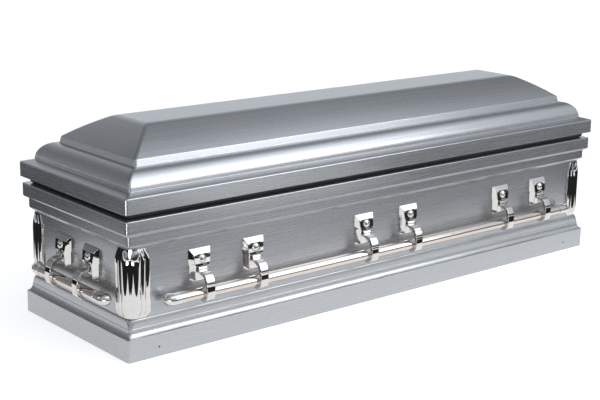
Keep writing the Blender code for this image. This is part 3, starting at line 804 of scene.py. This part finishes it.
class CASKET_OT_corners(bpy.types.Operator):
    """Build the four reeded chrome corner pieces"""

    bl_idname = "casket.corners"
    bl_label = "Corner Pieces"

    def execute(self, context):
        m = context.scene.casket_mouldings
        h = context.scene.casket_hardware
        data = corner_casting(h, m.wall_radius)
        x, y = HALF_LENGTH - m.wall_inset, HALF_WIDTH - m.wall_inset
        corners = (("front_left", -x, -y), ("front_right", x, -y))
        corners += (("back_right", x, y), ("back_left", -x, y))
        for quarter, (name, *seat) in enumerate(corners):
            where = Matrix.Translation((*seat, 0)) @ Matrix.Rotation(math.pi / 2 * quarter, 4, "Z")
            place_piece("reeded_" + name, data, "chrome", ["corner_" + name], where=where)
        return {"FINISHED"}


def ear_casting(h):
    """An ear seen from the front, its top middle on the wall at the origin, -Y out."""
    cheek_top = h.hood_height + h.hood_drop / 2
    face = h.ear_depth - h.ear_edge
    ease, foot_depth, foot_narrowing = 0.0015, 0.011, 0.006
    plan_slope = 0.65  # how much an ear narrows on each side, in depths
    slot_foot = -0.13  # well below the ear, so the slot is open there
    # Drop from the top, depth and width of each level
    sections = [
        (0.0, h.ear_edge, h.ear_width),
        (h.hood_drop, h.hood_depth, h.ear_width),
        (2 * h.hood_drop, face, h.ear_width),
        (h.hood_height, h.ear_depth, h.ear_width),
        (cheek_top, h.ear_depth, h.cheek_width),
        (h.ear_height - h.hood_drop, face, h.cheek_width),
        (h.ear_height - h.hood_drop * 0.45, face - ease, h.cheek_width - ease),
        (h.ear_height, foot_depth, h.cheek_width - foot_narrowing),
    ]
    loops = []
    for drop, depth, width in sections:
        half = width / 2 - plan_slope * depth
        plan = ((-width / 2, 0.0), (-half, -depth), (half, -depth), (width / 2, 0.0))
        loops.append([Vector((x, y, -drop)) for x, y in plan])
    casting = bevelled(loft("ear", loops), 0.0013)
    boss = bmesh.new()
    bmesh.ops.create_uvsphere(boss, u_segments=36, v_segments=20, radius=h.boss_radius)
    squash = Matrix.Diagonal((1.0, 1.0, (h.boss_proud + h.boss_sunk) / h.boss_radius, 1.0))
    seat = Matrix.Translation((0, -face + h.boss_sunk, -h.boss_drop))
    boss.transform(seat @ Matrix.Rotation(math.pi / 2, 4, "X") @ squash)
    boss = finish_mesh(boss, "boss")
    casting = modified(casting, "BOOLEAN", boss, operation="UNION", solver="EXACT")
    arch_top = -h.pivot_drop + h.knuckle_radius + h.arch_clearance
    half = h.arm_width / 2 + h.ear_clearance
    flare = h.arch_bevel
    loops = []
    for out, grow in ((h.ear_back, 0), (face - flare, 0), (face, flare), (2 * h.ear_depth, flare)):
        outline = [Vector((-half - grow, slot_foot))]
        radius = h.arch_round + grow
        for side, start in ((-1, 180), (1, 90)):
            center = (side * (half - h.arch_round), arch_top - h.arch_round)
            outline += arc(center, (radius, radius), start, start - 90, 10)
        outline.append(Vector((half + grow, slot_foot)))
        loops.append([Vector((point.x, -out, point.y)) for point in outline])
    slot = loft("slot", loops)
    return modified(casting, "BOOLEAN", slot, operation="DIFFERENCE", solver="EXACT")


def arm_casting(h):
    """A swinging arm about its pivot at the origin, -Y out: knuckle, bent strap and hook."""
    seat = h.bar_radius + GAP
    hook = seat + h.arm_thickness
    knuckle_start, knuckle_end, hook_end = -20, 250, -110
    bar_center = Vector((h.bar_standoff - h.pivot_standoff, -h.bar_drop))
    knuckle = arc((0, 0), (h.knuckle_radius, h.knuckle_radius), knuckle_start, knuckle_end, 20)
    start = knuckle[0]
    end = bar_center + Vector((hook, 0.0))
    turn = Vector((end.x, start.y - h.shoulder_drop))
    front = bezier((start, start + Vector((h.shoulder_reach, 0)), turn, end), 20)
    # The rear's first points would lie in the knuckle, and its last is the seat's first
    outline = knuckle + offset_path(front, -h.arm_thickness)[4:-1]
    outline += arc(bar_center, (seat, seat), 0, hook_end, 18)
    outline += arc(bar_center, (hook, hook), hook_end, 0, 18)
    outline += front[-2:0:-1]
    cheeks = []
    for sign in (-1, 1):
        cheeks.append([Vector((sign * h.arm_width / 2, -point.x, point.y)) for point in outline])
    return bevelled(loft("arm", cheeks), h.arm_bevel, 4)


def circle(center, radius, heading=0.0, sides=40):
    """A loop of points round a level bar, turned from +X about Z by a heading."""
    turn = Matrix.Rotation(heading, 3, "Z")
    points = []
    for i in range(sides):
        angle = 2 * math.pi * i / sides
        points.append(center + turn @ Vector((0, radius * math.cos(angle), radius * math.sin(angle))))
    return points


def turned(rings):
    """Loops round the X axis, each a place along it and a radius."""
    return [circle(Vector((x, 0, 0)), radius) for x, radius in rings]


def bar_tube(h, half):
    """A straight tube of a half length about the origin, its ends slightly rounded."""
    inner = h.bar_radius - h.bar_wall
    edge = 0.0006
    rings = [(-half, inner), (-half, h.bar_radius - edge), (-half + edge, h.bar_radius)]
    rings += [(-half + 2 * edge, h.bar_radius), (half - 2 * edge, h.bar_radius)]
    rings += [(half - edge, h.bar_radius), (half, h.bar_radius - edge), (half, inner)]
    return loft("bar", turned(rings), closed=True)


def tip_casting(h, side):
    """A bent end cap with its seam at the origin and a turned line near its mouth."""
    spigot = h.bar_radius - h.bar_wall - GAP
    line = 0.0009
    line_start, line_slope, line_end = 0.0060, 0.0006, 0.0084
    rings = [(-h.spigot, spigot), (0.0, spigot), (0.0, h.tip_radius - line), (line, h.tip_radius)]
    rings += [(line_start, h.tip_radius), (line_start + line_slope, h.tip_radius - line)]
    rings += [(line_end - line_slope, h.tip_radius - line), (line_end, h.tip_radius)]
    loops = turned(rings)
    reach = math.hypot(h.tip_dome * math.sin(h.tip_bend), h.tip_radius * math.cos(h.tip_bend))
    swing = h.bar_standoff - h.big_proud - h.tip_clearance - reach
    bend = swing / (1 - math.cos(h.tip_bend))
    for i in range(15):
        heading = h.tip_bend * i / 14
        center = Vector((h.tip_straight + bend * math.sin(heading), bend * (1 - math.cos(heading)), 0))
        loops.append(circle(center, h.tip_radius, heading))
    forward = Vector((math.cos(heading), math.sin(heading), 0))
    for i in range(1, 9):
        angle = math.radians(10 * i)
        middle = center + forward * h.tip_dome * math.sin(angle)
        loops.append(circle(middle, h.tip_radius * math.cos(angle), heading))
    if side < 0:
        loops = [[Vector((-point.x, point.y, point.z)) for point in loop] for loop in loops]
    return loft("tip", loops)


def along_side(side, node):
    """The place of a CAD node's middle along its side."""
    low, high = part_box(node)
    turn = Matrix.Rotation(SIDE_TURNS[side], 3, "Z")
    return (turn.inverted() @ ((low + high) / 2)).x


def wall_place(side, m):
    """A matrix from a side's own frame, its wall's foot at the origin, to the casket's."""
    wall = (HALF_WIDTH if side in ("front", "back") else HALF_LENGTH) - m.wall_inset
    return Matrix.Rotation(SIDE_TURNS[side], 4, "Z") @ Matrix.Translation((0, -wall, 0))


def side_numbers(side):
    """The numbers of the ears on a side."""
    return range(1, 7) if side in ("front", "back") else range(1, 3)


class CASKET_OT_ears(bpy.types.Operator):
    """Build the chrome ears that carry the handles"""

    bl_idname = "casket.ears"
    bl_label = "Ears"

    def execute(self, context):
        m = context.scene.casket_mouldings
        h = context.scene.casket_hardware
        data = ear_casting(h)
        ear_top = WALL_HIGH.z - h.ear_top_drop
        for side in SIDES:
            for number in side_numbers(side):
                node = f"{side}_ear_{number}"
                seat = Matrix.Translation((along_side(side, node), -GAP, ear_top))
                where = wall_place(side, m) @ seat
                place_piece("hooded_" + node, data, "chrome", [node], where=where)
        return {"FINISHED"}


class CASKET_OT_handles(bpy.types.Operator):
    """Build the swinging handles: arms, bars and tips"""

    bl_idname = "casket.handles"
    bl_label = "Handles"

    def execute(self, context):
        m = context.scene.casket_mouldings
        h = context.scene.casket_hardware
        arm = arm_casting(h)
        tips = {"left": tip_casting(h, -1), "right": tip_casting(h, 1)}
        pivot_height = WALL_HIGH.z - h.ear_top_drop - h.pivot_drop
        for side in SIDES:
            body = side + "_handle"
            pivot = wall_place(side, m) @ Matrix.Translation((0, -h.pivot_standoff, pivot_height))
            axis = pivot @ Matrix.Translation((0, h.pivot_standoff - h.bar_standoff, -h.bar_drop))
            for number in side_numbers(side):
                node = f"{side}_arm_{number}"
                where = pivot @ Matrix.Translation((along_side(side, node), 0, 0))
                place_piece("cast_" + node, arm, "chrome", [node], body, where)
            low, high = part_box(side + "_bar")
            half = max((high - low).x, (high - low).y) / 2
            node = side + "_bar"
            place_piece("plated_" + node, bar_tube(h, half), "nickel", [node], body, axis)
            for end, sign in (("left", -1), ("right", 1)):
                node = f"{side}_tip_{end}"
                where = axis @ Matrix.Translation((sign * (half + GAP), 0, 0))
                place_piece("bent_" + node, tips[end], "chrome", [node], body, where)
        return {"FINISHED"}


def soft_box(name, size, place, target, power):
    """A rectangular studio light that looks at a point."""
    data = bpy.data.lights.new(name, "AREA")
    data.shape = "RECTANGLE"
    data.size, data.size_y = size
    data.energy = power
    lamp = bpy.data.objects.new(name, data)
    lamp.location = place
    lamp.rotation_mode = "QUATERNION"
    lamp.rotation_quaternion = (Vector(target) - Vector(place)).to_track_quat("-Z", "Y")
    bpy.context.collection.objects.link(lamp)


def flat_object(name, corners, material):
    """An object of flat four-sided faces, each from four corners in turn."""
    data = bpy.data.meshes.new(name)
    data.from_pydata(corners, [], [tuple(range(i, i + 4)) for i in range(0, len(corners), 4)])
    data.materials.append(material)
    piece = bpy.data.objects.new(name, data)
    bpy.context.collection.objects.link(piece)
    return piece


def dark_surround(studio):
    """A dark frame on the floor round the casket that shows only as a reflection in the metal."""
    material, tree, shader = shader_of("dark_surround_finish", metallic=0.0)
    patchy(tree, shader.inputs["Base Color"], 0.5, (0.02,) * 3, (0.035,) * 3, 1.0)
    shader.inputs["Roughness"].default_value = 0.95
    shader.inputs["Specular IOR Level"].default_value = 0.0
    near_x, near_y = HALF_LENGTH + studio.surround_gap, HALF_WIDTH + studio.surround_gap
    far_x, far_y = HALF_LENGTH + studio.surround_reach, HALF_WIDTH + studio.surround_reach
    strip = HALF_WIDTH + studio.strip_reach
    blocks = [(-far_x, -strip, near_x, -near_y), (studio.window_end, -far_y, far_x, -strip)]
    blocks += [(-far_x, -far_y, studio.window_start, -strip), (-far_x, near_y, far_x, far_y)]
    blocks += [(-far_x, -near_y, -near_x, near_y), (near_x, -strip, far_x, near_y)]
    height = 0.002
    corners = []
    for left, front, right, back in blocks:
        corners += [(left, front, height), (right, front, height)]
        corners += [(right, back, height), (left, back, height)]
    reflected_only("dark_surround", corners, material)


def reflected_only(name, corners, material):
    """Flat cards that show only as a reflection, not to the camera or to the floor."""
    card = flat_object(name, corners, material)
    for ray in ("camera", "diffuse", "shadow", "transmission", "volume_scatter"):
        setattr(card, "visible_" + ray, False)


def corner_cards(studio):
    """Bright cards out from two corners, for the white line down the corners of the mouldings."""
    material, tree, shader = shader_of("corner_card_finish", metallic=0.0)
    patchy(tree, shader.inputs["Emission Color"], 0.5, (0.95,) * 3, (1.0,) * 3, 1.0)
    shader.inputs["Base Color"].default_value = (0.9, 0.9, 0.9, 1.0)
    shader.inputs["Emission Strength"].default_value = studio.card_light
    height = 0.004
    corners = []
    for sign in (-1, 1):
        for heading, out in CARD_CORNERS:
            angle = math.radians(heading)
            x, y = HALF_LENGTH + out * math.cos(angle), HALF_WIDTH + out * math.sin(angle)
            corners.append((sign * x, sign * y, height))
    reflected_only("corner_cards", corners, material)


def ramp_of(tree, value, stops):
    """A value read from a row of stops, each a place and a level."""
    node = tree.nodes.new("ShaderNodeValToRGB")
    node.color_ramp.elements.remove(node.color_ramp.elements[1])
    for i, (place, level) in enumerate(stops):
        stop = node.color_ramp.elements[0] if i == 0 else node.color_ramp.elements.new(place)
        stop.position = place
        stop.color = (level, level, level, 1.0)
    tree.links.new(value, node.inputs["Fac"])
    return node.outputs["Color"]


def studio_air(scene):
    """Soft room light: a long bright box over the front, dim above, lighter at the back."""
    world = bpy.data.worlds.new("studio_air")
    world.use_nodes = True
    scene.world = world
    tree = world.node_tree
    backdrop = tree.nodes["Background"]
    way = tree.nodes.new("ShaderNodeSeparateXYZ")
    tree.links.new(tree.nodes.new("ShaderNodeTexCoord").outputs["Generated"], way.inputs["Vector"])
    front = calculated(tree, "MULTIPLY", way.outputs["Y"], -1.0)
    turn = calculated(tree, "DIVIDE", calculated(tree, "ARCTAN2", way.outputs["Z"], front), math.pi)
    along = calculated(tree, "MULTIPLY_ADD", way.outputs["X"], 0.5, 0.5)
    levels = []
    for by_turn, by_place in ((BOX, BOX_ALONG), (BACK, BACK_ALONG)):
        ramps = (ramp_of(tree, turn, by_turn), ramp_of(tree, along, by_place))
        levels.append(calculated(tree, "MULTIPLY", *ramps))
    level = calculated(tree, "ADD", *levels)
    cool = tree.nodes.new("ShaderNodeMix")
    cool.data_type = "RGBA"
    cool.inputs["A"].default_value = (0, 0, 0, 1)
    cool.inputs["B"].default_value = (0.94, 0.99, 1.06, 1)
    tree.links.new(level, cool.inputs["Factor"])
    tree.links.new(cool.outputs["Result"], backdrop.inputs["Color"])
    backdrop.inputs["Strength"].default_value = scene.casket_studio.air


class CASKET_OT_studio(bpy.types.Operator):
    """Build the pale floor, the soft lights and the camera"""

    bl_idname = "casket.studio"
    bl_label = "Studio"

    def execute(self, context):
        studio = context.scene.casket_studio
        r = studio.floor_reach
        corners = [(-r, -r, 0), (r, -r, 0), (r, r, 0), (-r, r, 0)]
        floor = flat_object("studio_floor", corners, pale_floor(studio))
        for name, size, place, target, watts in SOFT_BOXES:
            soft_box(name, size, place, target, watts * studio.power)
        dark_surround(studio)
        corner_cards(studio)
        studio_air(context.scene)
        context.scene.view_settings.view_transform = "Standard"
        self.add_camera(context, studio)
        return {"FINISHED"}

    def add_camera(self, context, studio):
        """The camera at the photograph's viewing angle."""
        a, e, roll = studio.azimuth, studio.elevation, studio.roll
        back = Vector((math.sin(a) * math.cos(e), -math.cos(a) * math.cos(e), math.sin(e)))
        right = Vector((math.cos(a), math.sin(a), 0))
        up = back.cross(right)
        turned_right = right * math.cos(roll) + up * math.sin(roll)
        turned_up = up * math.cos(roll) - right * math.sin(roll)
        data = bpy.data.cameras.new("camera")
        data.lens = studio.lens
        data.sensor_width = 36.0
        data.clip_end = 200.0
        camera = bpy.data.objects.new("camera", data)
        matrix = Matrix((turned_right, turned_up, back)).transposed().to_4x4()
        camera.matrix_world = Matrix.Translation(studio.eye) @ matrix
        context.collection.objects.link(camera)
        context.scene.camera = camera


OPERATORS = (
    CASKET_OT_base,
    CASKET_OT_body,
    CASKET_OT_gasket,
    CASKET_OT_lid,
    CASKET_OT_corners,
    CASKET_OT_ears,
    CASKET_OT_handles,
    CASKET_OT_studio,
)


class CASKET_PT_pieces(bpy.types.Panel):
    """The casket's pieces, in the order they are built"""

    bl_idname = "CASKET_PT_pieces"
    bl_label = "Casket"
    bl_space_type = "VIEW_3D"
    bl_region_type = "UI"
    bl_category = "Casket"

    def draw(self, context):
        column = self.layout.column(align=True)
        for operator in OPERATORS:
            column.operator(operator.bl_idname)


GROUPS = (CasketMouldings, CasketHardware, CasketFinishes, CasketStudio)
CLASSES = GROUPS + OPERATORS + (CASKET_PT_pieces,)


def register():
    for item in CLASSES:
        bpy.utils.register_class(item)
    bpy.types.Scene.casket_mouldings = PointerProperty(type=CasketMouldings)
    bpy.types.Scene.casket_hardware = PointerProperty(type=CasketHardware)
    bpy.types.Scene.casket_finishes = PointerProperty(type=CasketFinishes)
    bpy.types.Scene.casket_studio = PointerProperty(type=CasketStudio)


def unregister():
    del bpy.types.Scene.casket_studio
    del bpy.types.Scene.casket_finishes
    del bpy.types.Scene.casket_hardware
    del bpy.types.Scene.casket_mouldings
    for item in reversed(CLASSES):
        bpy.utils.unregister_class(item)


def main():
    register()
    bpy.ops.casket.base()
    bpy.ops.casket.body()
    bpy.ops.casket.gasket()
    bpy.ops.casket.lid()
    bpy.ops.casket.corners()
    bpy.ops.casket.ears()
    bpy.ops.casket.handles()
    bpy.ops.casket.studio()


if __name__ == "__main__":
    main()
